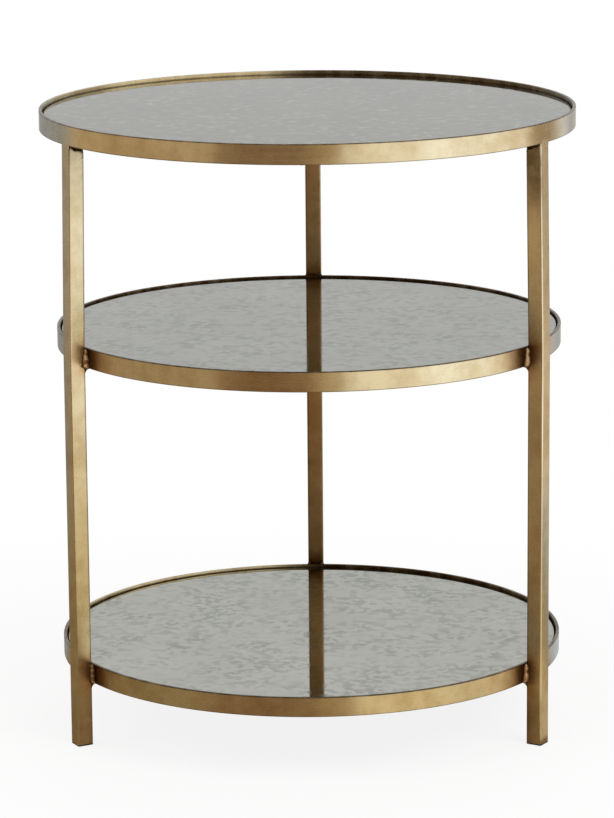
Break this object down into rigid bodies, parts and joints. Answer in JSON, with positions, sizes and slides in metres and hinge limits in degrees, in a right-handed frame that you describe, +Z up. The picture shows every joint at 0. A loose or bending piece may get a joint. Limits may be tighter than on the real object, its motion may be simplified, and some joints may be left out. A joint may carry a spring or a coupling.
{
  "type": "tiered side table",
  "caption": "Round tiered side table: rolled brass rings welded to square legs, each ring holding an antiqued mirror as a shelf.",
  "frame": {"origin": "on the floor, under the middle of the round table", "axes": "+Z up, +Y towards the back leg, +X towards the right of someone facing the front"},
  "size_m": [0.5169, 0.52, 0.603],
  "materials": {
    "antique_brass": "brushed and darkened, worn bright on the edges",
    "black_nylon": "moulded, fine grain",
    "antiqued_mirror": "polished glass over silvering with grey oxidised blotches",
    "painted_board": "fibreboard, sprayed matt black",
    "black_rubber": "matt",
    "zinc_steel": "zinc plated"
  },
  "bodies": {
    "root": {"top_ring": "antique_brass", "middle_ring": "antique_brass", "bottom_ring": "antique_brass", "left_leg": "antique_brass", "right_leg": "antique_brass", "back_leg": "antique_brass", "top_ring_welds": "antique_brass", "middle_ring_welds": "antique_brass", "bottom_ring_welds": "antique_brass", "left_glide": "black_nylon", "right_glide": "black_nylon", "back_glide": "black_nylon", "top_mirror": "antiqued_mirror", "middle_mirror": "antiqued_mirror", "bottom_mirror": "antiqued_mirror", "top_board": "painted_board", "middle_board": "painted_board", "bottom_board": "painted_board", "top_pads": "black_rubber", "middle_pads": "black_rubber", "bottom_pads": "black_rubber", "top_screws": "zinc_steel", "middle_screws": "zinc_steel", "bottom_screws": "zinc_steel"}
  },
  "joints": []
}
